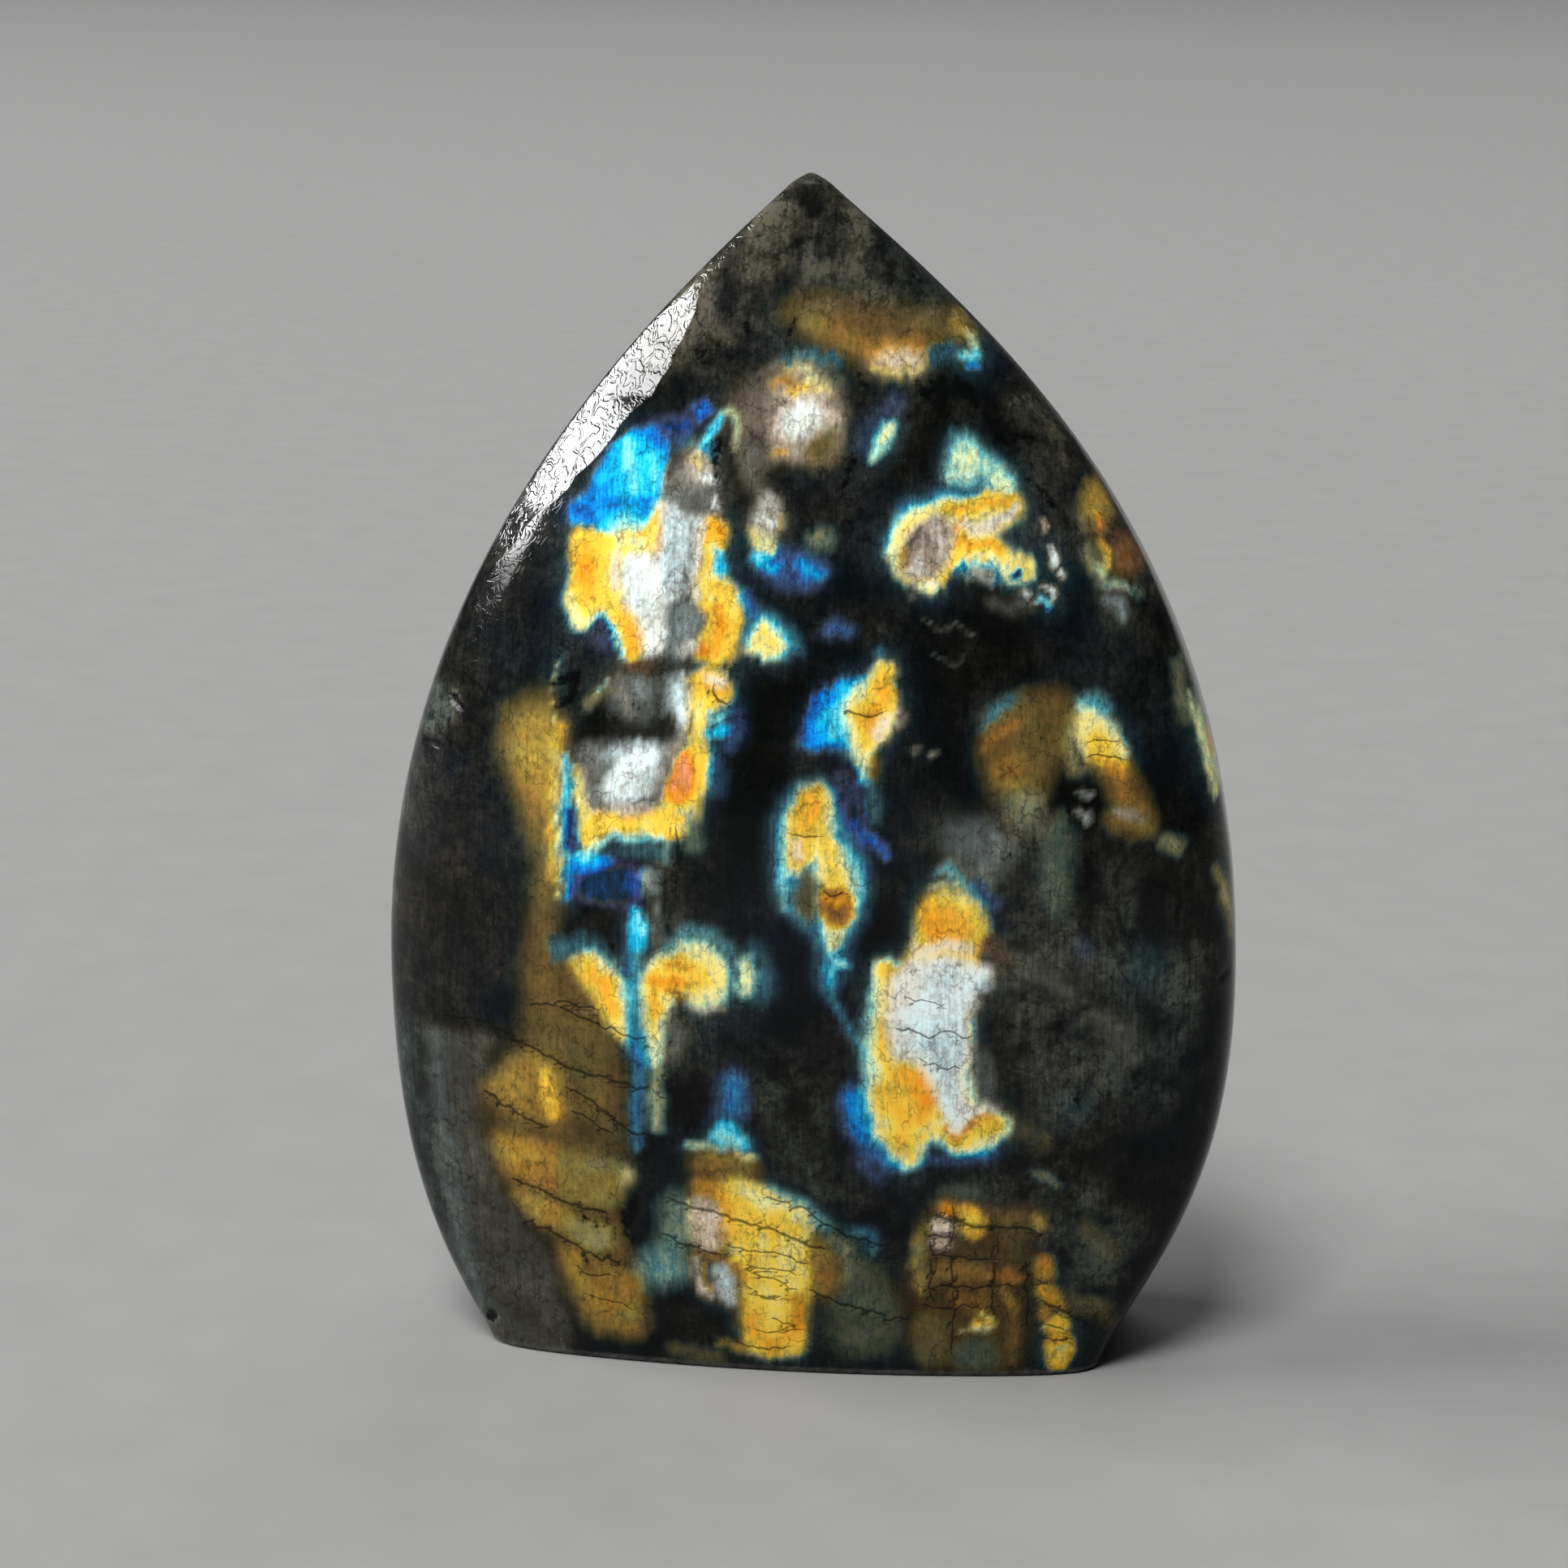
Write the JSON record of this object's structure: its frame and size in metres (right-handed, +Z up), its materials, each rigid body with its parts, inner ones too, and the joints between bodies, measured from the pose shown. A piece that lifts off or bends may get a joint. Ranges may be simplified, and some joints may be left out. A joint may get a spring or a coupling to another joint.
{
  "type": "spectrolite flame",
  "caption": "Polished flame-shaped labradorite stone with a domed front and back, a blunt tip and a flat base, dark with blue and gold flashes.",
  "frame": {"origin": "middle of the stone's extent at its flat base", "axes": "+Z up to the tip, -Y out of the front face, +X to the right seen from the front"},
  "size_m": [0.0722, 0.0296, 0.1],
  "materials": {
    "polished_stone": "glossy polish over dark feldspar with blue, gold and white flashes"
  },
  "bodies": {
    "root": {"stone": "polished_stone"}
  },
  "joints": []
}
